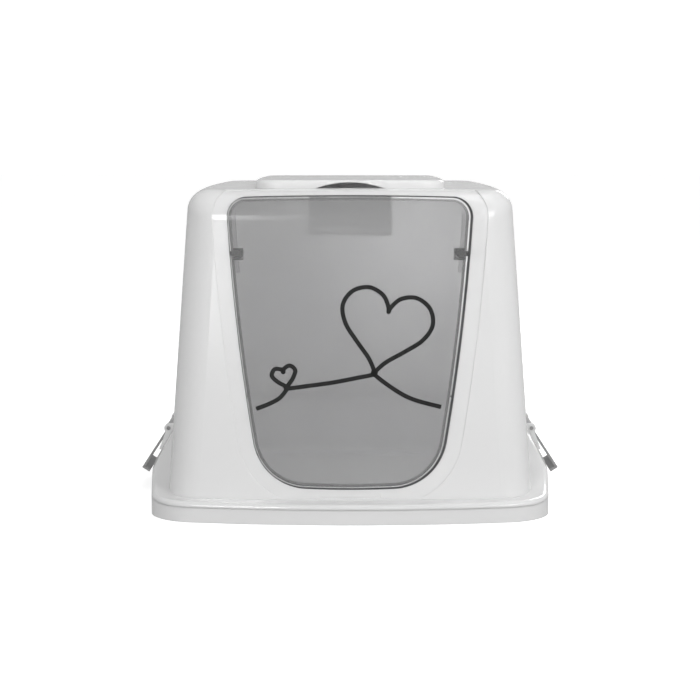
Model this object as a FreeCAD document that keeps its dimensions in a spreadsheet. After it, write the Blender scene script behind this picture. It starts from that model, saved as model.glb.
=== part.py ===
"""Cat litter box with hood: low basin, lift-off hood with a smoked swing door, two side clips and a filter.

Millimetres, +Z up, the door faces -Y. The origin is on the floor, in the middle of the footprint.
"""
import math
import os

import FreeCAD
import Part
import Sketcher
from FreeCAD import Placement, Rotation, Vector

doc = FreeCAD.newDocument("litter_box")
SIDES = (("left", -1), ("right", 1))

# ---------------------------------------------------------------- driving dimensions
# An outline is four shallow arcs joined by round corners. Each outline has nine numbers: where its low and
# high arcs stand and how round they are, the same for the two sides, and the radii of the low and high corners.
DIMENSIONS = {
    # footprint of the basin
    "base_low": -265, "base_low_radius": 980, "base_high": 265, "base_high_radius": 1030,
    "base_half": 235, "base_half_radius": 1724, "base_middle": -22,
    "base_low_corner": 62, "base_high_corner": 68,
    # the sloping skirt of the hood, at the floor and at its head
    "foot_low": -272, "foot_low_radius": 980, "foot_high": 286, "foot_high_radius": 1030,
    "foot_half": 258, "foot_half_radius": 1724, "foot_middle": -22,
    "foot_low_corner": 70, "foot_high_corner": 76,
    "head_low": -247, "head_low_radius": 960, "head_high": 229, "head_high_radius": 1000,
    "head_half": 189, "head_half_radius": 1700, "head_middle": -22,
    "head_low_corner": 36, "head_high_corner": 40, "head_level": 120,
    # hood body, at the floor and at the roof
    "wall_low": -238, "wall_low_radius": 1381, "wall_high": 242.5, "wall_high_radius": 1275,
    "wall_half": 216, "wall_half_radius": 1775, "wall_middle": -29,
    "wall_low_corner": 42, "wall_high_corner": 42,
    "roof_low": -208, "roof_low_radius": 1511, "roof_high": 213, "roof_high_radius": 1144,
    "roof_half": 186, "roof_half_radius": 2193, "roof_middle": -52,
    "roof_low_corner": 40, "roof_high_corner": 40, "roof_level": 369,
    "roof_front_round": 36, "roof_side_round": 24, "roof_tilt": 0.55, "skin": 3,
    # seam between basin and hood, ridge where the skirt ends and rim of the bowl, all higher at the rear
    "seam_front": 17, "seam_rear": 38, "seam_start": -235, "seam_end": 10,
    "ridge_front": 23, "ridge_rear": 80, "ridge_start": -232, "ridge_end": -18, "ridge_round": 5,
    "rim_front": 29, "rim_rear": 76, "rim_start": -200, "rim_end": -40,
    # doorway and door, seen from the front
    "door_low": 34, "door_low_radius": 1250, "door_high": 361.5, "door_high_radius": 4000,
    "door_half": 142.4, "door_half_radius": 2400, "door_middle": 490,
    "door_low_corner": 62, "door_high_corner": 22, "doorway_rear": -173,
    "door_gap": 3.2, "door_setback": 1.6, "door_sheet": 2.2, "door_rib": 6.5, "door_rib_wide": 2.6,
    "wing_wide": 7.5, "wing_thick": 3.6, "wing_level": 276, "door_shift": -1.4,
    "frame_wide": 17, "frame_deep": 0.9, "frame_foot": 24.5,
    "notch_half": 34, "notch_low": 25, "notch_high": 32, "notch_rear": -234.2,
    # door pivot
    "pivot_front": -193, "pivot_level": 296, "pin_radius": 3, "pin_long": 20, "pin_inner": 123,
    "pin_play": 0.06, "boss_radius": 6.5, "boss_inner": 118, "boss_outer": 129.5,
    "socket_radius": 7, "socket_inner": 136.5, "socket_long": 9,
    # the bowl of the basin, at the floor and at its rim
    "bowl_low": -206, "bowl_low_radius": 1300, "bowl_high": 208, "bowl_high_radius": 1250,
    "bowl_half": 184, "bowl_half_radius": 1700, "bowl_middle": -25,
    "bowl_low_corner": 46, "bowl_high_corner": 46, "bowl_floor": 4, "bowl_fillet": 14,
    "lip_low": -225.5, "lip_low_radius": 1410, "lip_high": 230, "lip_high_radius": 1238,
    "lip_half": 203.5, "lip_half_radius": 1880, "lip_middle": -34,
    "lip_low_corner": 41, "lip_high_corner": 41, "lip_level": 90,
    # plateau on the roof
    "plate_low": -150, "plate_low_radius": 1400, "plate_high": 196, "plate_high_radius": 1400,
    "plate_half": 113, "plate_half_radius": 3000, "plate_middle": 20,
    "plate_low_corner": 30, "plate_high_corner": 30, "plate_rise": 8.5, "plate_round": 5,
    # half-moon mouth in the front of the plateau
    "mouth_half": 39, "mouth_rise": 7, "mouth_front": -170, "mouth_long": 52,
    # filter under the mouth
    "holder_half": 48, "holder_foot_half": 40, "holder_front": -130, "holder_rear": -36,
    "cover_rim": 14, "grille_rim": 10, "grille_gap": 0.2, "holder_floor": 313, "holder_wall": 2.4,
    "pad_thick": 12, "pad_gap": 1, "grille_thick": 2, "slot_wide": 3.6, "slot_pitch": 7,
    # side clips: lean is measured from upright, and the clip rests a little away from its catch
    "clip_middle": -6, "clip_long": 84, "clip_plate": 3, "clip_drop": 58, "clip_hook": 9,
    "axis_half": 220, "axis_level": 76, "axle_radius": 2.2, "knuckle_radius": 4, "clip_lean": 33,
    "lug_thick": 7, "lug_inner": 206, "lug_high": 11, "lug_foot": 232, "lug_foot_level": 50,
    "axle_play": 0.06, "side_play": 0.4,
    "catch_level": 24.5, "catch_high": 4, "catch_deep": 3.5, "catch_root": 6, "catch_long": 60,
    # door buffers and the stop behind the lintel
    "buffer_level": 111, "buffer_inner": 113.5, "buffer_wide": 8, "buffer_long": 10,
    "buffer_rear": -220, "stop_half": 6, "stop_front": -186, "stop_deep": 5, "stop_level": 360.2,
    # drawing room: longer than anything it cuts
    "far": 400,
}

sheet = doc.addObject("Spreadsheet::Sheet", "Dims")
for row, (alias, number) in enumerate(DIMENSIONS.items(), start=1):
    sheet.set(f"A{row}", alias)
    sheet.set(f"B{row}", str(number))
    sheet.setAlias(f"B{row}", alias)
doc.recompute()


def bound(expression):
    """Puts the sheet's name in front of every alias in an expression."""
    words = []
    word = ""
    for letter in str(expression) + " ":
        if letter.isalnum() or letter in "_.":
            word += letter
            continue
        words.append("Dims." + word if word in DIMENSIONS else word)
        words.append(letter)
        word = ""
    return "".join(words).strip()


def size(expression):
    """The number that an expression on the sheet gives."""
    return float(sheet.evalExpression(bound(expression)))


# ---------------------------------------------------------------- sketches
LEVEL = Rotation()
UPRIGHT = Rotation(Vector(1, 0, 0), 90)
SIDEWAYS = Rotation(Vector(1, 1, 1), 120)
CORNERS = {"low": -1, "high": 1}


def new_sketch(name, rotation, axis, station):
    """A sketch of its own, lying level, upright or sideways, with its station bound to the sheet."""
    sketch = doc.addObject("Sketcher::SketchObject", name)
    sketch.Placement = Placement(Vector(), rotation)
    sketch.setExpression(f"Placement.Base.{axis}", bound(station))
    return sketch


def round_corner(first, first_radius, second, second_radius, radius, side):
    """The centre of the circle that touches two large circles from inside, on the asked side."""
    span = second - first
    reach = first_radius - radius
    other = second_radius - radius
    along = (reach ** 2 - other ** 2 + span.Length ** 2) / (2 * span.Length)
    across = math.sqrt(reach ** 2 - along ** 2)
    unit = span / span.Length
    normal = Vector(-unit.y, unit.x, 0)
    choices = [first + unit * along + normal * across, first + unit * along - normal * across]
    return max(choices, key=lambda point: point.y * side)


def outline(name, prefix, rotation, axis, station, inset="0"):
    """Four shallow arcs and four round corners, tangent all the way round, mirrored about the middle."""
    sketch = new_sketch(name, rotation, axis, station)
    expressions = {
        "low_radius": f"{prefix}_low_radius-({inset})", "high_radius": f"{prefix}_high_radius-({inset})",
        "half_radius": f"{prefix}_half_radius-({inset})",
        "low_corner": f"{prefix}_low_corner-({inset})", "high_corner": f"{prefix}_high_corner-({inset})",
        "low_centre": f"{prefix}_low+{prefix}_low_radius",
        "high_centre": f"{prefix}_high-{prefix}_high_radius",
        "half_centre": f"{prefix}_half-{prefix}_half_radius", "middle": f"{prefix}_middle",
    }
    number = {key: size(text) for key, text in expressions.items()}
    low = Vector(0, number["low_centre"], 0)
    high = Vector(0, number["high_centre"], 0)
    right = Vector(number["half_centre"], number["middle"], 0)
    left = Vector(-number["half_centre"], number["middle"], 0)
    sides = [(low, "low_radius"), (right, "half_radius"), (high, "high_radius"), (left, "half_radius")]
    corners = []
    for index, (centre, radius) in enumerate(sides):
        following, next_radius = sides[(index + 1) % 4]
        kind = "low" if index in (0, 3) else "high"
        middle = round_corner(centre, number[radius], following, number[next_radius],
                              number[kind + "_corner"], CORNERS[kind])
        corners.append((middle, kind + "_corner"))
    circles = [circle for pair in zip(sides, corners) for circle in pair]
    joints = []
    for index, (centre, radius) in enumerate(circles):
        following = circles[(index + 1) % 8][0]
        direction = following - centre if index % 2 == 0 else centre - following
        joint_centre, joint_radius = (centre, radius) if index % 2 == 0 else circles[(index + 1) % 8]
        joints.append(joint_centre + direction / direction.Length * number[joint_radius])
    for index, (centre, radius) in enumerate(circles):
        begin = joints[index - 1] - centre
        end = joints[index] - centre
        circle = Part.Circle(centre, Vector(0, 0, 1), number[radius])
        arc = Part.ArcOfCircle(circle, math.atan2(begin.y, begin.x), math.atan2(end.y, end.x))
        sketch.addGeometry(arc)
    for index in range(8):
        sketch.addConstraint(Sketcher.Constraint("Tangent", index, 2, (index + 1) % 8, 1))
    for index, (centre, radius) in enumerate(circles):
        label = sketch.addConstraint(Sketcher.Constraint("Radius", index, number[radius]))
        tie(sketch, expressions[radius], label)
    places = [(0, None, "low_centre"), (2, "half_centre", "middle"), (4, None, "high_centre"),
              (6, "half_centre", "middle")]
    for index, across, along in places:
        if across is None:
            sketch.addConstraint(Sketcher.Constraint("PointOnObject", index, 3, -2))
        else:
            sign = 1 if index == 2 else -1
            label = sketch.addConstraint(
                Sketcher.Constraint("DistanceX", -1, 1, index, 3, sign * number[across]))
            tie(sketch, f"{sign}*({expressions[across]})", label)
        label = sketch.addConstraint(Sketcher.Constraint("DistanceY", -1, 1, index, 3, number[along]))
        tie(sketch, expressions[along], label)
    return sketch


def tie(sketch, expression, label):
    """Ties a dimension of a sketch to an expression on the sheet."""
    sketch.setExpression(f"Constraints[{label}]", bound(expression))


def profile(name, rotation, axis, station, points):
    """A closed outline of straight lines whose corners are pairs of expressions on the sheet."""
    sketch = new_sketch(name, rotation, axis, station)
    draw_polygon(sketch, points)
    return sketch


def draw_polygon(sketch, points):
    """Straight lines through corners given as pairs of expressions, each dimensioned from the origin."""
    spots = [Vector(size(across), size(along), 0) for across, along in points]
    for index, spot in enumerate(spots):
        sketch.addGeometry(Part.LineSegment(spot, spots[(index + 1) % len(spots)]))
    for index in range(len(spots)):
        sketch.addConstraint(Sketcher.Constraint("Coincident", index, 2, (index + 1) % len(spots), 1))
    for index, (spot, pair) in enumerate(zip(spots, points)):
        for kind, number, text in (("DistanceX", spot.x, pair[0]), ("DistanceY", spot.y, pair[1])):
            label = sketch.addConstraint(Sketcher.Constraint(kind, -1, 1, index, 1, number))
            tie(sketch, text, label)


def draw_disc(sketch, across, along, radius):
    """A circle whose centre and radius are expressions on the sheet."""
    spot = Vector(size(across), size(along), 0)
    sketch.addGeometry(Part.Circle(spot, Vector(0, 0, 1), size(radius)))
    for kind, number, text in (("DistanceX", spot.x, across), ("DistanceY", spot.y, along)):
        label = sketch.addConstraint(Sketcher.Constraint(kind, -1, 1, 0, 3, number))
        tie(sketch, text, label)
    tie(sketch, radius, sketch.addConstraint(Sketcher.Constraint("Radius", 0, size(radius))))


# ---------------------------------------------------------------- solids and booleans
def extrude(name, sketch, direction, length):
    """Sweeps a closed sketch along a direction."""
    solid = doc.addObject("Part::Extrusion", name)
    solid.Base = sketch
    solid.DirMode = "Custom"
    solid.Dir = direction
    solid.Solid = True
    solid.setExpression("LengthFwd", bound(length))
    return solid


def loft(name, sections):
    """A straight-sided solid between outlines."""
    solid = doc.addObject("Part::Loft", name)
    solid.Sections = sections
    solid.Solid = True
    solid.Ruled = True
    return solid


def block(name, low, high):
    """A box between two corners, each given as three expressions on the sheet."""
    solid = doc.addObject("Part::Box", name)
    for axis, side, start, end in zip("xyz", ("Length", "Width", "Height"), low, high):
        solid.setExpression(f"Placement.Base.{axis}", bound(start))
        solid.setExpression(side, bound(f"({end})-({start})"))
    return solid


TURNS = {"x": Rotation(Vector(0, 1, 0), 90), "y": Rotation(Vector(1, 0, 0), -90), "z": Rotation()}


def rod(name, axis, foot, radius, length):
    """A cylinder along X, Y or Z from a foot point."""
    solid = doc.addObject("Part::Cylinder", name)
    solid.Placement = Placement(Vector(), TURNS[axis])
    for letter, text in zip("xyz", foot):
        solid.setExpression(f"Placement.Base.{letter}", bound(text))
    solid.setExpression("Radius", bound(radius))
    solid.setExpression("Height", bound(length))
    return solid


def boolean(kind, name, base, tool):
    """A Part boolean of two solids."""
    solid = doc.addObject("Part::" + kind, name)
    solid.Base = base
    solid.Tool = tool
    return solid


def fuse(name, *shapes):
    """One solid out of several."""
    solid = doc.addObject("Part::MultiFuse", name)
    solid.Shapes = list(shapes)
    solid.Refine = True
    return solid


def seam_side(name, prefix, drop="0"):
    """Everything under a straight ramp: level at the front, climbing, then level to the rear."""
    points = [
        ("-far", "-far"), ("far", "-far"), ("far", f"{prefix}_rear-({drop})"),
        (f"{prefix}_end", f"{prefix}_rear-({drop})"), (f"{prefix}_start", f"{prefix}_front-({drop})"),
        ("-far", f"{prefix}_front-({drop})"),
    ]
    sketch = profile(name + "_side", SIDEWAYS, "x", "-far", points)
    return extrude(name, sketch, Vector(1, 0, 0), "2*far")


def swell_side(name, prefix, drop="0"):
    """Everything under a soft ramp, whose climb is two equal arcs that meet halfway."""
    sketch = new_sketch(name + "_side", SIDEWAYS, "x", "-far")
    far = size("far")
    front = size(f"{prefix}_front-({drop})")
    rear = size(f"{prefix}_rear-({drop})")
    start = size(f"{prefix}_start")
    end = size(f"{prefix}_end")
    turn = 2 * math.atan2(rear - front, end - start)
    radius = (end - start) / (2 * math.sin(turn))
    corners = [Vector(-far, -far, 0), Vector(far, -far, 0), Vector(far, rear, 0), Vector(end, rear, 0)]
    for first, second in zip(corners, corners[1:]):
        sketch.addGeometry(Part.LineSegment(first, second))
    crest = Part.Circle(Vector(end, rear - radius, 0), Vector(0, 0, 1), radius)
    trough = Part.Circle(Vector(start, front + radius, 0), Vector(0, 0, 1), radius)
    sketch.addGeometry(Part.ArcOfCircle(crest, math.pi / 2, math.pi / 2 + turn))
    sketch.addGeometry(Part.ArcOfCircle(trough, -math.pi / 2, -math.pi / 2 + turn))
    sketch.addGeometry(Part.LineSegment(Vector(start, front, 0), Vector(-far, front, 0)))
    sketch.addGeometry(Part.LineSegment(Vector(-far, front, 0), corners[0]))
    for pair in ((0, 2, 1, 1), (1, 2, 2, 1), (5, 2, 6, 1), (6, 2, 0, 1)):
        sketch.addConstraint(Sketcher.Constraint("Coincident", *pair))
    for pair in ((2, 2, 3, 1), (3, 2, 4, 2), (4, 1, 5, 1)):
        sketch.addConstraint(Sketcher.Constraint("Tangent", *pair))
    for line in (0, 2, 5):
        sketch.addConstraint(Sketcher.Constraint("Horizontal", line))
    for line in (1, 6):
        sketch.addConstraint(Sketcher.Constraint("Vertical", line))
    sketch.addConstraint(Sketcher.Constraint("Equal", 3, 4))
    dimensions = (
        ("DistanceX", 0, 1, -far, "-far"), ("DistanceY", 0, 1, -far, "-far"), ("DistanceX", 0, 2, far, "far"),
        ("DistanceY", 2, 1, rear, f"{prefix}_rear-({drop})"), ("DistanceX", 3, 1, end, f"{prefix}_end"),
        ("DistanceX", 4, 1, start, f"{prefix}_start"), ("DistanceY", 5, 2, front, f"{prefix}_front-({drop})"),
    )
    for kind, line, point, number, text in dimensions:
        tie(sketch, text, sketch.addConstraint(Sketcher.Constraint(kind, -1, 1, line, point, number)))
    return extrude(name, sketch, Vector(1, 0, 0), "2*far")


def tapered(name, lower, lower_level, upper, upper_level, inset="0", tilt=None):
    """A loft between two named outlines, both drawn in by an inset; a tilt lifts the upper one's rear."""
    sections = [
        outline(name + "_lower", lower, LEVEL, "z", lower_level, inset),
        outline(name + "_upper", upper, LEVEL, "z", upper_level, inset),
    ]
    if tilt:
        sections[1].Placement = Placement(sections[1].Placement.Base, Rotation(Vector(1, 0, 0), size(tilt)))
        sections[1].setExpression("Placement.Rotation.Angle", bound(tilt))
    return loft(name, sections)


def prism(name, prefix, low, high, inset="0"):
    """An upright block with a named outline."""
    plan = outline(name + "_plan", prefix, LEVEL, "z", low, inset)
    return extrude(name, plan, Vector(0, 0, 1), f"({high})-({low})")


def rounded(name, base, choose):
    """Rounds edges: choose(edge) gives nothing, or the two end radii."""
    doc.recompute()
    solid = doc.addObject("Part::Fillet", name)
    solid.Base = base
    picks = []
    for index, edge in enumerate(base.Shape.Edges, start=1):
        radii = choose(edge)
        if radii:
            picks.append((index, *radii))
    solid.Edges = picks
    return solid


nodes = []


def finish(name, solid):
    """Gives a finished solid its node name."""
    solid.Label = name
    nodes.append(solid)


# ---------------------------------------------------------------- hood
def body_solid(name, inset):
    """The hood's plain body with its roof edges rounded, drawn in by an inset."""
    plain = tapered(name + "_plain", "wall", "0", "roof", f"roof_level-({inset})", inset, "roof_tilt")
    front_round = size(f"roof_front_round-({inset})")
    side_round = size(f"roof_side_round-({inset})")
    lowest_top = size(f"roof_level-({inset})") - 5
    front_corner = size("roof_low") + 12

    def radius_at(point):
        return front_round if point.y < front_corner else side_round

    def choose(edge):
        ends = [edge.valueAt(edge.FirstParameter), edge.valueAt(edge.LastParameter)]
        if min(point.z for point in ends) < lowest_top:
            return None
        return radius_at(ends[0]), radius_at(ends[1])

    return rounded(name, plain, choose)


def skirt_solid(name, inset, rise):
    """The hood's skirt: sloping sides, never wider than the basin, ended by the ridge."""
    slope = tapered(name + "_slope", "foot", "0", "head", "head_level", inset)
    wide = prism(name + "_wide", "base", "0", "head_level", inset)
    under = swell_side(name + "_under", "ridge", rise)
    return boolean("Common", name, boolean("Common", name + "_trim", slope, wide), under), under


def rounded_ridge(name, sharp, under):
    """The skirt with its ridge rounded: the edges that lie on top of the ramp."""
    doc.recompute()
    top = under.Shape
    radius = size("ridge_round")

    def choose(edge):
        middle = edge.valueAt((edge.FirstParameter + edge.LastParameter) / 2)
        if edge.BoundBox.XLength < 0.01 and edge.BoundBox.ZLength < 0.01:
            return None
        on_top = Part.Vertex(middle).distToShape(top.Shells[0])[0] < 0.02
        across = edge.BoundBox.YLength < 0.02 and edge.BoundBox.XLength > 100 and abs(middle.x) < 1
        return (radius, radius) if on_top and middle.z > 5 and not across else None

    return rounded(name, sharp, choose)


def doorway_prism(name, inset="0", shift="0"):
    """The doorway's outline driven from front to rear through the hood's face."""
    face = outline(name + "_face", "door", UPRIGHT, "y", "-far", inset)
    face.setExpression("Placement.Base.x", bound(shift))
    return extrude(name, face, Vector(0, 1, 0), "far+doorway_rear")


def shelled(name, outer_inset, inner_inset):
    """A curved sheet that follows the hood's face between two depths."""
    front = body_solid(name + "_front", outer_inset)
    back = body_solid(name + "_back", inner_inset)
    return boolean("Cut", name, front, back)


def make_hood():
    """Thin shell: body, skirt and plateau, with the doorway, its sunk frame, the mouth and the clip lugs.

    Gives back the solid that fills the body's inside, for the small pieces that sit against its inner face.
    """
    lugs = []
    for side, sign in SIDES:
        for end, place in (("front", "clip_middle-clip_long/2-side_play-lug_thick"),
                           ("rear", "clip_middle+clip_long/2+side_play")):
            name = f"lug_{side}_{end}"
            knob = rod(name + "_knob", "y", (f"{sign}*axis_half", place, "axis_level"),
                       "lug_high/2", "lug_thick")
            corners = [
                (f"{sign}*lug_inner", "axis_level+lug_high/2"), (f"{sign}*axis_half", "axis_level+lug_high/2"),
                (f"{sign}*lug_foot", "lug_foot_level"), (f"{sign}*lug_inner", "lug_foot_level"),
            ]
            side_view = profile(name + "_side", UPRIGHT, "y", place, corners)
            web = extrude(name + "_web", side_view, Vector(0, 1, 0), "lug_thick")
            lugs += [knob, web]
    skirt = rounded_ridge("skirt_outer", *skirt_solid("skirt_sharp", "0", "0"))
    outer = fuse("hood_outer", body_solid("body_outer", "0"), skirt, plateau("plateau_outer", "0"), *lugs)
    inner_body = body_solid("body_inner", "skin")
    inner = fuse("hood_inner", inner_body, skirt_solid("skirt_inner", "skin", "skin")[0],
                 plateau("plateau_inner", "skin"))
    shell = boolean("Cut", "hood_shell", outer, inner)
    above_flange = block("frame_band", ("-far", "-far", "frame_foot"), ("far", "far", "far"))
    face = boolean("Common", "frame_face", doorway_prism("frame_wide_face", "-frame_wide"), above_flange)
    ring = boolean("Cut", "frame_ring", face, body_solid("frame_floor", "frame_deep"))
    notch = block("sill_notch", ("-notch_half", "-far", "notch_low"),
                  ("notch_half", "notch_rear", "notch_high"))
    mouth = mouth_prism("mouth_cut")
    bores = [rod(f"lug_bore_{side}", "y",
                 (f"{sign}*axis_half", "clip_middle-clip_long/2-2*lug_thick", "axis_level"),
                 "axle_radius+axle_play", "clip_long+4*lug_thick") for side, sign in SIDES]
    cuts = fuse("hood_cuts", seam_side("hood_seam", "seam"), doorway_prism("doorway"), ring, notch, mouth,
                *bores)
    finish("hood", boolean("Cut", "hood", shell, cuts))
    return inner_body


def plateau(name, inset):
    """The raised panel on the roof, its upper edge rounded."""
    plain = prism(name + "_plain", "plate", "roof_level-15", f"roof_level+plate_rise-({inset})", inset)
    top = size(f"roof_level+plate_rise-({inset})")
    radius = size(f"plate_round-({inset})/2")

    def choose(edge):
        return (radius, radius) if edge.BoundBox.ZMin > top - 0.1 else None

    return rounded(name, plain, choose)


def mouth_prism(name):
    """Half-moon mouth under the front of the plateau: a flat sill and a shallow arch."""
    arch_radius = "(mouth_half*mouth_half+mouth_rise*mouth_rise)/(2*mouth_rise)"
    arch = rod(name + "_arch", "y", ("0", "mouth_front", f"roof_level-1+mouth_rise-{arch_radius}"),
               arch_radius, "mouth_long")
    sill = block(name + "_sill", ("-mouth_half", "mouth_front", "roof_level-1"),
                 ("mouth_half", "mouth_front+mouth_long", "roof_level+2*mouth_rise"))
    return boolean("Common", name, arch, sill)


# ---------------------------------------------------------------- basin
def make_tray():
    """Upright band, a level shelf that carries the hood, a drafted bowl inside it and two catches outside."""
    band = boolean("Common", "band", prism("band_block", "base", "0", "seam_rear+20"),
                   seam_side("band_under", "seam"))
    under = boolean("Common", "band_hollow", prism("hollow_block", "base", "-10", "seam_rear+20", "skin"),
                    seam_side("hollow_under", "seam", "skin"))
    bowl = boolean("Common", "bowl", tapered("bowl_slope", "bowl", "0", "lip", "lip_level"),
                   swell_side("bowl_under", "rim"))
    plain = tapered("bowl_room", "bowl", "bowl_floor", "lip", "lip_level+bowl_floor", "skin")
    floor = size("bowl_floor")
    radius = size("bowl_fillet")

    def choose(edge):
        return (radius, radius) if edge.BoundBox.ZMax < floor + 0.1 else None

    room = rounded("bowl_round", plain, choose)
    hollow = boolean("Cut", "tray_hollow", under, tapered("bowl_keep", "bowl", "0", "lip", "lip_level"))
    catches = []
    for side, sign in SIDES:
        low_x, high_x = sorted((f"{sign}*(base_half-catch_root)", f"{sign}*(base_half+catch_deep)"), key=size)
        catches.append(block(f"catch_{side}", (low_x, "clip_middle-catch_long/2", "catch_level"),
                             (high_x, "clip_middle+catch_long/2", "catch_level+catch_high")))
    solid = fuse("tray_solid", band, bowl, *catches)
    return finish("tray", boolean("Cut", "tray", boolean("Cut", "tray_open", solid, hollow), room))


# ---------------------------------------------------------------- door
def make_door():
    """Curved sheet that follows the hood's face, with an inward rib all round and two pivot bosses."""
    sheet_piece = boolean("Common", "door_sheet_piece",
                          shelled("door_sheet_shell", "door_setback", "door_setback+door_sheet"),
                          doorway_prism("door_face", "door_gap", "door_shift"))
    ring = boolean("Cut", "door_ring", doorway_prism("door_face_again", "door_gap", "door_shift"),
                   doorway_prism("door_face_inner", "door_gap+door_rib_wide", "door_shift"))
    rib = boolean("Common", "door_rib_piece",
                  shelled("door_rib_shell", "door_setback", "door_setback+door_rib"), ring)
    wide_ring = boolean("Cut", "door_wide_ring", doorway_prism("door_face_wide", "door_gap", "door_shift"),
                        doorway_prism("door_face_narrow", "door_gap+wing_wide", "door_shift"))
    high_ring = boolean("Common", "door_high_ring", wide_ring,
                        block("door_wing_band", ("-far", "-far", "wing_level"), ("far", "far", "far")))
    wing = boolean("Common", "door_wing_piece",
                   shelled("door_wing_shell", "door_setback", "door_setback+wing_thick"), high_ring)
    bosses = []
    for side, sign in SIDES:
        low_x, high_x = sorted((f"{sign}*boss_inner+door_shift", f"{sign}*boss_outer+door_shift"), key=size)
        boss = rod(f"boss_{side}_round", "x", (low_x, "pivot_front", "pivot_level"), "boss_radius",
                   "boss_outer-boss_inner")
        web = block(f"boss_{side}_web", (low_x, "pivot_front-12", "pivot_level-boss_radius"),
                    (high_x, "pivot_front", "pivot_level+boss_radius"))
        room = body_solid(f"boss_{side}_room", "door_setback+1")
        kept = boolean("Common", f"boss_{side}_web_kept", web, room)
        bosses += [boss, kept]
    solid = fuse("door_solid", sheet_piece, rib, wing, *bosses)
    bore = rod("door_bore", "x", ("-pin_inner-pin_long", "pivot_front", "pivot_level"), "pin_radius",
               "2*(pin_inner+pin_long)")
    middle = block("door_bore_middle", ("-pin_inner", "pivot_front-10", "pivot_level-10"),
                   ("pin_inner", "pivot_front+10", "pivot_level+10"))
    return finish("door_flap", boolean("Cut", "door_flap", solid, boolean("Cut", "door_bores", bore, middle)))


def make_pivots(inner_body):
    """Two pins that turn with the door, and the sockets on the hood's inner face that they turn in."""
    for side, sign in SIDES:
        low_x, high_x = sorted((f"{sign}*pin_inner", f"{sign}*(pin_inner+pin_long)"), key=size)
        finish(f"hinge_pin_{side}", rod(f"hinge_pin_{side}", "x", (low_x, "pivot_front", "pivot_level"),
                                        "pin_radius", "pin_long"))
        low_x, high_x = sorted((f"{sign}*socket_inner", f"{sign}*(socket_inner+socket_long)"), key=size)
        ring = rod(f"socket_{side}_round", "x", (low_x, "pivot_front", "pivot_level"), "socket_radius",
                   "socket_long")
        web = block(f"socket_{side}_web", (low_x, "pivot_front-20", "pivot_level-socket_radius"),
                    (high_x, "pivot_front", "pivot_level+socket_radius"))
        whole = boolean("Common", f"socket_{side}_whole", fuse(f"socket_{side}_fuse", ring, web), inner_body)
        bore = rod(f"socket_{side}_bore", "x", (f"{low_x}-1", "pivot_front", "pivot_level"),
                   "pin_radius+pin_play", "socket_long+2")
        finish(f"hinge_socket_{side}", boolean("Cut", f"hinge_socket_{side}", whole, bore))


# ---------------------------------------------------------------- small pieces on the hood
def make_buffers(inner_body):
    """Soft buffers behind the edges of the doorway and a stop behind its lintel."""
    for side, sign in SIDES:
        low_x, high_x = sorted((f"{sign}*buffer_inner", f"{sign}*(buffer_inner+buffer_wide)"), key=size)
        raw = block(f"buffer_{side}_block", (low_x, "-far", "buffer_level"),
                    (high_x, "buffer_rear", "buffer_level+buffer_long"))
        finish(f"door_buffer_{side}", boolean("Common", f"door_buffer_{side}", raw, inner_body))
    raw = block("stop_block", ("-stop_half", "stop_front", "stop_level"),
                ("stop_half", "stop_front+stop_deep", "roof_level"))
    finish("lintel_stop", boolean("Common", "lintel_stop", raw, inner_body))


# ---------------------------------------------------------------- filter
def slotted(name, low, high, rim):
    """A flat plate with parallel slots from front to rear, each as long as the plate less its rims."""
    plate = block(name + "_plate", low, high)
    slots = []
    for index in range(int(size("2*holder_foot_half/slot_pitch"))):
        left = f"-holder_foot_half+slot_pitch*{index}+(slot_pitch-slot_wide)/2"
        slots.append(block(f"{name}_slot_{index}", (left, f"{low[1]}+{rim}", f"{low[2]}-1"),
                           (f"{left}+slot_wide", f"{high[1]}-{rim}", f"{high[2]}+1")))
    return finish(name, boolean("Cut", name, plate, fuse(name + "_slots", *slots)))


def make_filter():
    """Four walls under the mouth, a slotted cover that closes them, a charcoal pad and its grille."""
    wall = "holder_wall"
    walls = block("holder_block", ("-holder_half", "holder_front", f"holder_floor+{wall}"),
                  ("holder_half", "holder_rear", "roof_level+plate_rise-skin"))
    room = block("holder_room", (f"-holder_half+{wall}", f"holder_front+{wall}", "holder_floor"),
                 (f"holder_half-{wall}", f"holder_rear-{wall}", "far"))
    finish("filter_holder", boolean("Cut", "filter_holder", walls,
                                    fuse("holder_cuts", room, mouth_prism("holder_mouth"))))
    slotted("filter_cover", ("-holder_half", "holder_front", "holder_floor"),
            ("holder_half", "holder_rear", f"holder_floor+{wall}"), "cover_rim")
    gap = f"({wall}+pad_gap)"
    pad_low = f"holder_floor+{wall}"
    finish("filter_pad", block("filter_pad", (f"-holder_half+{gap}", f"holder_front+{gap}", pad_low),
                               (f"holder_half-{gap}", f"holder_rear-{gap}", f"{pad_low}+pad_thick")))
    edge = f"({wall}+grille_gap)"
    slotted("filter_grille", (f"-holder_half+{edge}", f"holder_front+{edge}", f"{pad_low}+pad_thick"),
            (f"holder_half-{edge}", f"holder_rear-{edge}", f"{pad_low}+pad_thick+grille_thick"), "grille_rim")


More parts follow.
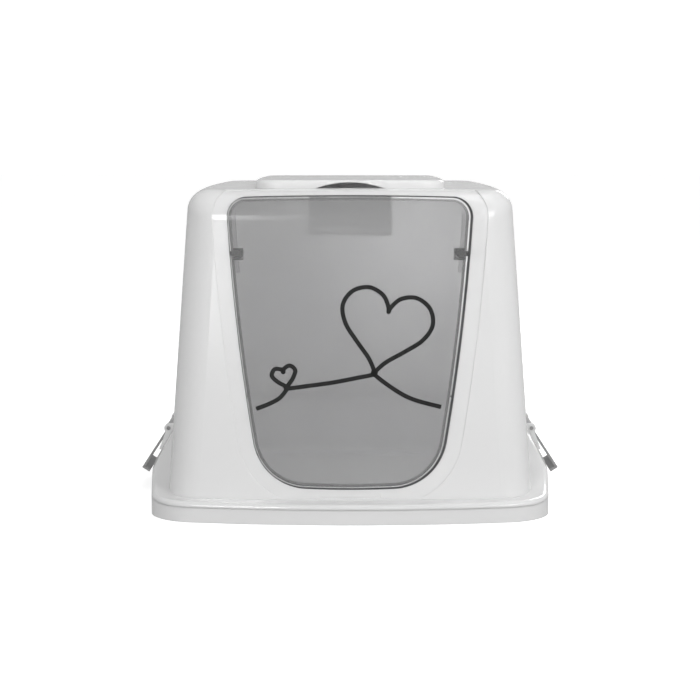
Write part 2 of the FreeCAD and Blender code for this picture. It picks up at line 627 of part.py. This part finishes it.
# ---------------------------------------------------------------- side clips
def make_clips():
    """Lever plates with a full-length knuckle, an axle stub at each end and a hook at the tip."""
    for side, sign in SIDES:
        body = doc.addObject("PartDesign::Body", f"side_clip_{side}")
        origin = {item.Role: item for item in body.Origin.OriginFeatures}
        body.Placement = Placement(Vector(), Rotation(Vector(0, 1, 0), -sign * size("clip_lean")))
        for axis, text in zip("xyz", (f"{sign}*axis_half", "clip_middle", "axis_level")):
            body.setExpression(f"Placement.Base.{axis}", bound(text))
        half = "clip_plate/2"
        lever = [(f"{half}*{sign}", "0"), (f"{half}*{sign}", f"-clip_drop-{half}"),
                 (f"-clip_hook*{sign}", f"-clip_drop-{half}"), (f"-clip_hook*{sign}", f"-clip_drop+{half}"),
                 (f"-{half}*{sign}", f"-clip_drop+{half}"), (f"-{half}*{sign}", "0")]
        pads = (("lever", lever, None, "clip_long"), ("knuckle", None, "knuckle_radius", "clip_long"),
                ("axle", None, "axle_radius", "clip_long+2*side_play+2*lug_thick"))
        for name, points, radius, length in pads:
            sketch = body.newObject("Sketcher::SketchObject", f"{name}_sketch_{side}")
            sketch.AttachmentSupport = [(origin["XZ_Plane"], "")]
            sketch.MapMode = "FlatFace"
            if points:
                draw_polygon(sketch, points)
            else:
                draw_disc(sketch, "0", "0", radius)
            pad = body.newObject("PartDesign::Pad", f"{name}_pad_{side}")
            pad.Profile = sketch
            pad.setExpression("Length", bound(length))
            pad.SideType = "Symmetric"
        finish(f"side_clip_{side}", body)


inner_space = make_hood()
make_tray()
make_door()
make_pivots(inner_space)
make_buffers(inner_space)
make_filter()
make_clips()
doc.recompute()

# ---------------------------------------------------------------- checks and export
broken = [item.Name for item in doc.Objects if {"Invalid", "Error"} & set(item.State)]
if broken:
    raise RuntimeError(f"failed features: {broken}")
os.makedirs("parts", exist_ok=True)
for node in nodes:
    shape = node.Shape
    if shape.isNull() or not shape.isValid() or not shape.Solids:
        raise RuntimeError(f"{node.Label} has no valid solid")
    if node.TypeId != "PartDesign::Body" and len(shape.Solids) != 1:
        raise RuntimeError(f"{node.Label} fell into {len(shape.Solids)} solids")
    shape.exportStep(f"parts/{node.Label}.step")
    print(f"{node.Label:20s} {shape.Volume / 1000:9.1f} cm3  {len(shape.Solids)} solid")
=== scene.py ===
"""Looks for the hooded cat litter box: plastics, door print, painted shade in the doorway's gap, studio
light and camera.
"""
import math

import bpy
from mathutils import Matrix, Vector
from mathutils.bvhtree import BVHTree
from mathutils.geometry import convex_hull_2d


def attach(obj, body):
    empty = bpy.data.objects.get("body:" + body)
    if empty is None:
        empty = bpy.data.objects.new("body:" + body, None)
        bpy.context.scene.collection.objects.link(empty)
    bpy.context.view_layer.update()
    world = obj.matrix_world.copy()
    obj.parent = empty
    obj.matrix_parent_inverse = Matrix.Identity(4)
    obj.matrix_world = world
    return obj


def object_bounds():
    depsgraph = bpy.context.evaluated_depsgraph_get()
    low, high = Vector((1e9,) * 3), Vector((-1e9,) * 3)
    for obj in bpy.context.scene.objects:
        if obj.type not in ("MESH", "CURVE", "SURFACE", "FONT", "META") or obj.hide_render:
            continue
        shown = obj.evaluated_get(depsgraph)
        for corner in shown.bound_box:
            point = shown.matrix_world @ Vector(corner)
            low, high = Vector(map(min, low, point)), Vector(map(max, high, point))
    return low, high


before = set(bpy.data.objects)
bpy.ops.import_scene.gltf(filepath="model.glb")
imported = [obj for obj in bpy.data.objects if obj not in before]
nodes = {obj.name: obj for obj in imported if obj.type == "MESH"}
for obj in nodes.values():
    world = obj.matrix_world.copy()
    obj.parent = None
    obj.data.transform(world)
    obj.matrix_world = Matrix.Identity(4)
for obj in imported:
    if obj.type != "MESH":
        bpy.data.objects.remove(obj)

MM = 0.001

# strength of the world's light at the far left and the far right
SURROUND_LEFT = 0.38
SURROUND_RIGHT = 0.60
# the floor and the dome behind it: they are only seen, and light nothing
FLOOR_SIZE = 60.0
FLOOR_WHITE = 0.86
FLOOR_GLOW = 0.58
DOME_RADIUS = 25.0
DOME_WHITE = 0.8
DOME_GLOW = 1.2
# the soft boxes face this place, in the middle of the litter box
LIGHT_AIM = Vector((0, 0, 0.18))
# name, place, width, height, watts
SOFT_BOXES = (
    ("soft_left", (-0.9, -2.6, 1.1), 0.7, 0.7, 20),
    ("soft_right", (1.5, -1.9, 1.2), 0.9, 0.9, 16),
    ("soft_top", (0.3, 0.1, 2.2), 1.2, 1.2, 7),
    ("soft_back", (0.9, 1.9, 1.1), 0.6, 0.6, 7),
    ("window_left", (-0.83, -2.40, 0.47), 0.12, 0.32, 0.9),
    ("window_right", (1.05, -2.2, 0.62), 0.06, 0.3, 0.5),
)
# weak lamps that stand in for light seeping through the thin roof: name, place, radius, watts
INNER_GLOWS = (
    ("glow_rear", (0.08, 0.07, 0.285), 0.04, 0.45),
    ("glow_front", (0.0, -0.165, 0.262), 0.03, 0.07),
)
# the camera looks along +Y from in front of the box's foremost point
CAMERA_DISTANCE = 1.976
CAMERA_HEIGHT = 0.417
CAMERA_PITCH = 6.41
CAMERA_LENS = 93.7
CAMERA_SENSOR = 36.0

# radius of the rounding that the shading gives to hard edges
EDGE_ROUND = 0.0009
EDGE_SAMPLES = 4
# how far light spreads below the surface of the white plastic
WHITE_SPREAD = 0.0035
# how fast the smoked plastic darkens with thickness, per metre
SMOKE_DENSITY = 265.0

# the textbook heart curve is 32 units wide, and its tip lies 17 units below its middle
HEART_WIDTH = 32
HEART_TIP = 17
# the print and the strip of painted shade are flat bars with this many vertices round each place along them
RING = 4
# half the width of the printed line in millimetres, like its route, and half its thickness
PRINT_HALF = 2.4
PRINT_LIFT = 0.12 * MM
PRINT_STEPS = 10
# the dark strip in the gap round the door is painted shade for the shadow inside the gap: the door hangs a
# little off the middle of its doorway
DOOR_GAP = 3.2 * MM
DOOR_SHIFT = -1.4 * MM
SHADE_STRIP_CLEARANCE = 2.0 * MM
SHADE_STRIP_THINNEST = 0.3 * MM
SHADE_STRIP_DEPTH = 4.0 * MM
# the strip of painted shade starts level with the door's front face, read this far inside the door's
# outline
SHADE_STRIP_INSET = 2.0 * MM
# the door's front face is searched from this far in front of the box
SEARCH_MARGIN = 0.1

cad_low, cad_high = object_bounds()


# ---------------------------------------------------------------- materials
class Shader:
    """One material and its node tree."""

    def __init__(self, name):
        self.material = bpy.data.materials.new(name)
        self.material.use_nodes = True
        self.tree = self.material.node_tree
        self.surface = self.tree.nodes["Principled BSDF"]
        self.place = self.add("ShaderNodeTexCoord").outputs["Object"]

    def add(self, kind, inputs=None, **settings):
        """A new node. Inputs are constants or sockets to link, and settings are properties of the node."""
        node = self.tree.nodes.new(kind)
        for key, value in settings.items():
            setattr(node, key, value)
        for key, value in (inputs or {}).items():
            if isinstance(value, bpy.types.NodeSocket):
                self.tree.links.new(value, node.inputs[key])
            else:
                node.inputs[key].default_value = value
        return node

    def noise(self, size, detail=4.0, roughness=0.55, stretch=(1.0, 1.0, 1.0)):
        """Soft noise whose blobs are about size metres across."""
        scaled = self.add("ShaderNodeMapping", {"Vector": self.place, "Scale": stretch})
        inputs = {"Vector": scaled.outputs["Vector"], "Scale": 1.0 / size, "Detail": detail,
                  "Roughness": roughness}
        return self.add("ShaderNodeTexNoise", inputs).outputs["Fac"]

    def span(self, value, low, high, start=0.3, end=0.7):
        """A value that runs from start to end, stretched to run from low to high."""
        inputs = {"Value": value, "From Min": start, "From Max": end, "To Min": low, "To Max": high}
        return self.add("ShaderNodeMapRange", inputs).outputs["Result"]

    def blend(self, factor, first, second):
        """A mix of two colours by a factor."""
        mix = self.add("ShaderNodeMix", data_type="RGBA")
        self.tree.links.new(factor, mix.inputs["Factor"])
        mix.inputs["A"].default_value = (*first, 1.0)
        mix.inputs["B"].default_value = (*second, 1.0)
        return mix.outputs["Result"]

    def link(self, output, socket):
        """Feeds an output into the material's surface node."""
        self.tree.links.new(output, self.surface.inputs[socket])

    def set(self, **values):
        """Sets constants on the material's surface node."""
        for key, value in values.items():
            self.surface.inputs[key.replace("_", " ")].default_value = value

    def bump(self, layers, edge=None):
        """Bumps stacked on one another: (height, depth in metres, strength); edge rounds the hard edges."""
        normal = None
        if edge:
            normal = self.add("ShaderNodeBevel", {"Radius": edge}, samples=EDGE_SAMPLES).outputs["Normal"]
        for height, depth, strength in layers:
            inputs = {"Height": height, "Distance": depth, "Strength": strength}
            if normal:
                inputs["Normal"] = normal
            normal = self.add("ShaderNodeBump", inputs).outputs["Normal"]
        self.link(normal, "Normal")


def white_plastic(name, bright, dull, rough_low, rough_high):
    """Injection-moulded polypropylene between two greys: flow streaks, fine scuffs, a barely wavy gloss."""
    shader = Shader(name)
    streaks = shader.noise(0.16, 3.0, 0.5, (1.0, 1.0, 0.5))
    scuffs = shader.noise(0.012, 6.0, 0.7, (1.0, 1.0, 0.6))
    waves = shader.noise(0.11, 1.0)
    specks = shader.noise(0.0014, 2.0)
    shader.link(shader.blend(shader.span(streaks, 0.0, 1.0), (dull,) * 3, (bright,) * 3), "Base Color")
    shader.link(shader.span(scuffs, rough_low, rough_high), "Roughness")
    shader.bump([(waves, 0.0012, 0.06), (specks, 0.00004, 0.15)], EDGE_ROUND)
    shader.set(IOR=1.49, Subsurface_Weight=1.0, Subsurface_Scale=WHITE_SPREAD,
               Subsurface_Radius=(1.0, 1.0, 1.0))
    return shader.material


def smoked_plastic():
    """Smoke-tinted translucent plastic: frosting blurs what is behind it, and thick ribs look darker."""
    shader = Shader("smoked_plastic")
    cloud = shader.span(shader.noise(0.05, 4.0), 0.0, 1.0)
    frosting = shader.noise(0.01, 5.0, 0.7)
    waves = shader.noise(0.05, 2.0)
    grain = shader.noise(0.0009, 2.0)
    shader.link(shader.blend(cloud, (0.94, 0.94, 0.945), (0.97, 0.97, 0.975)), "Base Color")
    shader.link(shader.span(frosting, 0.17, 0.22), "Roughness")
    shader.bump([(waves, 0.001, 0.10), (grain, 0.00003, 0.2)], EDGE_ROUND)
    shader.set(IOR=1.30, Transmission_Weight=0.85)
    black = (0.0, 0.0, 0.0, 1.0)
    smoke = shader.add("ShaderNodeVolumeAbsorption", {"Color": black, "Density": SMOKE_DENSITY})
    shader.tree.links.new(smoke.outputs["Volume"], shader.tree.nodes["Material Output"].inputs["Volume"])
    return shader.material


def grained_plastic(name, low, high, rough):
    """Moulded plastic with a fine spark-eroded grain."""
    shader = Shader(name)
    cloud = shader.span(shader.noise(0.02, 4.0), 0.0, 1.0)
    shader.link(shader.blend(cloud, low, high), "Base Color")
    shader.link(shader.span(shader.noise(0.006, 4.0), rough - 0.06, rough + 0.06), "Roughness")
    shader.bump([(shader.noise(0.0012, 3.0), 0.00012, 0.4)])
    return shader.material


def rubber():
    """Soft black rubber, slightly uneven, with fine pores."""
    shader = Shader("soft_rubber")
    cloud = shader.span(shader.noise(0.003, 4.0), 0.0, 1.0)
    shader.link(shader.blend(cloud, (0.012, 0.012, 0.012), (0.03, 0.03, 0.03)), "Base Color")
    shader.link(shader.span(shader.noise(0.004, 3.0), 0.6, 0.8), "Roughness")
    shader.bump([(shader.noise(0.0008, 3.0), 0.0001, 0.5)])
    return shader.material


def charcoal_felt():
    """Charcoal-loaded fibre: a tangle of fine dark hairs."""
    shader = Shader("charcoal_felt")
    fibres = shader.noise(0.0016, 8.0, 0.8)
    hairs = shader.span(fibres, 0.0, 1.0)
    shader.link(shader.blend(hairs, (0.010, 0.010, 0.011), (0.045, 0.045, 0.047)), "Base Color")
    shader.link(shader.span(fibres, 0.85, 0.98), "Roughness")
    shader.bump([(fibres, 0.0009, 0.9)])
    shader.set(Sheen_Weight=0.3)
    return shader.material


def ink():
    """Screen-printed black ink, duller than the plastic under it."""
    shader = Shader("black_ink")
    cloud = shader.span(shader.noise(0.004, 4.0), 0.0, 1.0)
    shader.link(shader.blend(cloud, (0.006, 0.006, 0.006), (0.018, 0.018, 0.018)), "Base Color")
    shader.link(shader.span(shader.noise(0.003, 4.0), 0.40, 0.55), "Roughness")
    shader.bump([(shader.noise(0.0006, 2.0), 0.00003, 0.4)])
    shader.set(Specular_IOR_Level=0.25)
    return shader.material


def dress(material, *names):
    """Gives CAD nodes their material."""
    for name in names:
        for slot in nodes[name].material_slots:
            slot.material = material


# ---------------------------------------------------------------- print, and the painted shade in the door's gap
def heart(tip, size, tilt, count):
    """Points round a heart from its tip, up the right side, over both lobes and back to the tip."""
    lean = Matrix.Rotation(tilt, 2)
    points = []
    for step in range(count + 1):
        turn = math.pi - 2 * math.pi * step / count
        across = 16 * math.sin(turn) ** 3
        up = 13 * math.cos(turn) - 5 * math.cos(2 * turn) - 2 * math.cos(3 * turn) - math.cos(4 * turn)
        points.append(Vector(tip) + lean @ Vector((across, up + HEART_TIP)) * (size / HEART_WIDTH))
    return points


def smooth(points, steps):
    """A Catmull-Rom curve through points."""
    padded = [points[0] * 2 - points[1], *points, points[-1] * 2 - points[-2]]
    result = []
    for before, start, end, after in zip(padded, padded[1:], padded[2:], padded[3:]):
        slope = end - before
        bend = 2 * before - 5 * start + 4 * end - after
        twist = 3 * start - before - 3 * end + after
        for step in range(steps):
            t = step / steps
            result.append(0.5 * (2 * start + slope * t + bend * t ** 2 + twist * t ** 3))
    return result + [points[-1]]


def door_surface():
    """A search tree of the door's own surface."""
    mesh = nodes["door_flap"].data
    return BVHTree.FromPolygons([v.co for v in mesh.vertices], [p.vertices for p in mesh.polygons])


def door_front(surface, across, up):
    """The point of the door's front face at one place across and up."""
    start = Vector((across, cad_low[1] - SEARCH_MARGIN, up))
    return surface.ray_cast(start, Vector((0, 1, 0)))[0]


def new_piece(name, vertices, faces, material):
    """A mesh object of one material."""
    mesh = bpy.data.meshes.new(name)
    mesh.from_pydata(vertices, [], faces)
    mesh.materials.append(material)
    piece = bpy.data.objects.new(name, mesh)
    bpy.context.scene.collection.objects.link(piece)
    return piece


def printed_line():
    """One thin line that loops into a small heart and a large one, laid on the door's face."""
    # the route is in millimetres across and up
    route = [Vector(p) for p in ((-105, 124), (-92, 129), (-79, 136))]
    route += heart(tip=(-70, 147), size=27, tilt=math.radians(14), count=12)
    route += [Vector(p) for p in ((-46, 150), (-18, 154), (8, 159))]
    route += heart(tip=(27, 163), size=103, tilt=math.radians(-13), count=20)
    route += [Vector(p) for p in ((48, 147), (70, 135), (102, 126))]
    line = smooth(route, PRINT_STEPS)
    surface = door_surface()
    lift = Vector((0, PRINT_LIFT, 0))
    vertices, faces = [], []
    # the vertices at each point: front and back of the left edge, then of the right edge
    for index, point in enumerate(line):
        ahead = line[min(index + 1, len(line) - 1)]
        behind = line[max(index - 1, 0)]
        along = (ahead - behind).normalized()
        side = Vector((-along.y, along.x)) * PRINT_HALF
        for edge in (point + side, point - side):
            hit = door_front(surface, edge.x * MM, edge.y * MM)
            vertices += [hit - lift, hit + lift]
    for index in range(len(line) - 1):
        a, b = RING * index, RING * (index + 1)
        faces += [(a, a + 2, b + 2, b), (a + 1, b + 1, b + 3, a + 3), (a, b, b + 1, a + 1),
                  (a + 2, a + 3, b + 3, b + 2)]
    last = RING * (len(line) - 1)
    faces += [(0, 1, 3, 2), (last, last + 2, last + 3, last + 1)]
    piece = new_piece("door_print", vertices, faces, ink())
    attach(piece, "door")


def doorway_painted_shade():
    """Dark strip round the doorway, painted shade for the shadow inside the gap: it fills the outer part of
    the gap, so that the door has room to swing.
    """
    door = nodes["door_flap"].data
    spots = [Vector((v.co.x, v.co.z)) for v in door.vertices]
    outline = [spots[index] for index in convex_hull_2d(spots)]
    surface = door_surface()
    vertices, faces = [], []
    # the vertices at each spot: front and back of the inner edge, then of the outer edge
    for before, spot, after in zip(outline[-1:] + outline[:-1], outline, outline[1:] + outline[:1]):
        along = (after - before).normalized()
        outward = Vector((along.y, -along.x))
        wall = DOOR_GAP - DOOR_SHIFT * outward.x
        inside = spot - outward * SHADE_STRIP_INSET
        hit = door_front(surface, inside.x, inside.y)
        for reach in (min(SHADE_STRIP_CLEARANCE, wall - SHADE_STRIP_THINNEST), wall):
            edge = spot + outward * reach
            vertices += [(edge.x, hit.y, edge.y), (edge.x, hit.y + SHADE_STRIP_DEPTH, edge.y)]
    count = len(outline)
    for index in range(count):
        a, b = RING * index, RING * ((index + 1) % count)
        faces += [(a, b, b + 2, a + 2), (a + 2, b + 2, b + 3, a + 3), (a + 3, b + 3, b + 1, a + 1),
                  (a + 1, b + 1, b, a)]
    # painted shade: this near-black grey stands in for the shadow inside the door's gap
    material = grained_plastic("painted_gap_shade", (0.05, 0.05, 0.052), (0.08, 0.08, 0.083), 0.5)
    piece = new_piece("doorway_painted_shade", vertices, faces, material)
    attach(piece, "hood")


# ---------------------------------------------------------------- studio
def glowing(name, albedo, glow):
    """A matt studio surface that also gives off light of its own."""
    shader = Shader(name)
    shader.link(shader.blend(shader.noise(0.5), (albedo,) * 3, (albedo - 0.01,) * 3), "Base Color")
    shader.set(Roughness=0.8, Emission_Strength=glow, Emission_Color=(1, 1, 1, 1))
    return shader.material


def surround():
    """A pale world, brighter on the right than on the left."""
    world = bpy.data.worlds.new("pale_surround")
    bpy.context.scene.world = world
    world.use_nodes = True
    tree = world.node_tree
    direction = tree.nodes.new("ShaderNodeTexCoord").outputs["Generated"]
    split = tree.nodes.new("ShaderNodeSeparateXYZ")
    tree.links.new(direction, split.inputs["Vector"])
    ramp = tree.nodes.new("ShaderNodeMapRange")
    tree.links.new(split.outputs["X"], ramp.inputs["Value"])
    ends = {"From Min": -1, "From Max": 1, "To Min": SURROUND_LEFT, "To Max": SURROUND_RIGHT}
    for socket, number in ends.items():
        ramp.inputs[socket].default_value = number
    tree.links.new(ramp.outputs["Result"], tree.nodes["Background"].inputs["Strength"])
    tree.nodes["Background"].inputs["Color"].default_value = (1, 1, 1, 1)


def lamp(name, kind, place, watts):
    """A lamp of one kind at a place."""
    data = bpy.data.lights.new(name, kind)
    data.energy = watts
    light = bpy.data.objects.new(name, data)
    light.location = place
    bpy.context.scene.collection.objects.link(light)
    return light


def studio():
    """White floor and a pale dome that light nothing, soft boxes, the surround and the glow in the hood."""
    bpy.ops.mesh.primitive_plane_add(size=FLOOR_SIZE, location=(0, 0, cad_low[2]))
    floor = bpy.context.object
    floor.name = "floor"
    floor.data.materials.append(glowing("floor_white", FLOOR_WHITE, FLOOR_GLOW))
    bpy.ops.mesh.primitive_uv_sphere_add(segments=64, ring_count=32, radius=DOME_RADIUS)
    dome = bpy.context.object
    dome.name = "dome"
    dome.data.materials.append(glowing("dome_white", DOME_WHITE, DOME_GLOW))
    dome.visible_shadow = False
    for sheet in (floor, dome):
        sheet.visible_diffuse = False
        sheet.visible_glossy = False
    surround()
    for name, place, width, height, watts in SOFT_BOXES:
        box = lamp(name, "AREA", place, watts)
        box.data.shape = "RECTANGLE"
        box.data.size = width
        box.data.size_y = height
        box.rotation_euler = (LIGHT_AIM - Vector(place)).to_track_quat("-Z", "Y").to_euler()
    for name, place, radius, watts in INNER_GLOWS:
        glow = lamp(name, "POINT", place, watts)
        glow.data.shadow_soft_size = radius
        glow.visible_camera = False
        glow.visible_glossy = False
        glow.visible_transmission = False
    colours = bpy.context.scene.view_settings
    colours.view_transform = "Standard"
    colours.look = "None"


def camera():
    """A long lens in front of the door, a little above the roof and looking slightly down."""
    data = bpy.data.cameras.new("camera")
    data.sensor_width = CAMERA_SENSOR
    data.lens = CAMERA_LENS
    data.clip_end = 2 * DOME_RADIUS
    view = bpy.data.objects.new("camera", data)
    view.location = (0.0, cad_low[1] - CAMERA_DISTANCE, CAMERA_HEIGHT)
    view.rotation_euler = (math.radians(90 - CAMERA_PITCH), 0.0, 0.0)
    bpy.context.scene.collection.objects.link(view)
    bpy.context.scene.camera = view


dress(white_plastic("hood_white", 0.80, 0.785, 0.12, 0.18),
      "hood", "hinge_socket_left", "hinge_socket_right")
dress(white_plastic("tray_white", 0.79, 0.775, 0.14, 0.20), "tray")
# the clips' grey is partly their own colour and partly painted shade: it is darkened to match clips that
# stand in shadow
dress(white_plastic("clip_grey_and_painted_shade", 0.40, 0.37, 0.18, 0.26), "side_clip_left", "side_clip_right")
dress(smoked_plastic(), "door_flap")
dress(grained_plastic("pin_plastic", (0.66, 0.66, 0.665), (0.72, 0.72, 0.725), 0.35),
      "hinge_pin_left", "hinge_pin_right")
dress(white_plastic("filter_white", 0.80, 0.785, 0.20, 0.28), "filter_holder", "filter_cover")
dress(grained_plastic("grille_plastic", (0.38, 0.38, 0.382), (0.46, 0.46, 0.462), 0.5), "filter_grille")
dress(rubber(), "door_buffer_left", "door_buffer_right", "lintel_stop")
dress(charcoal_felt(), "filter_pad")
printed_line()
doorway_painted_shade()
studio()
camera()
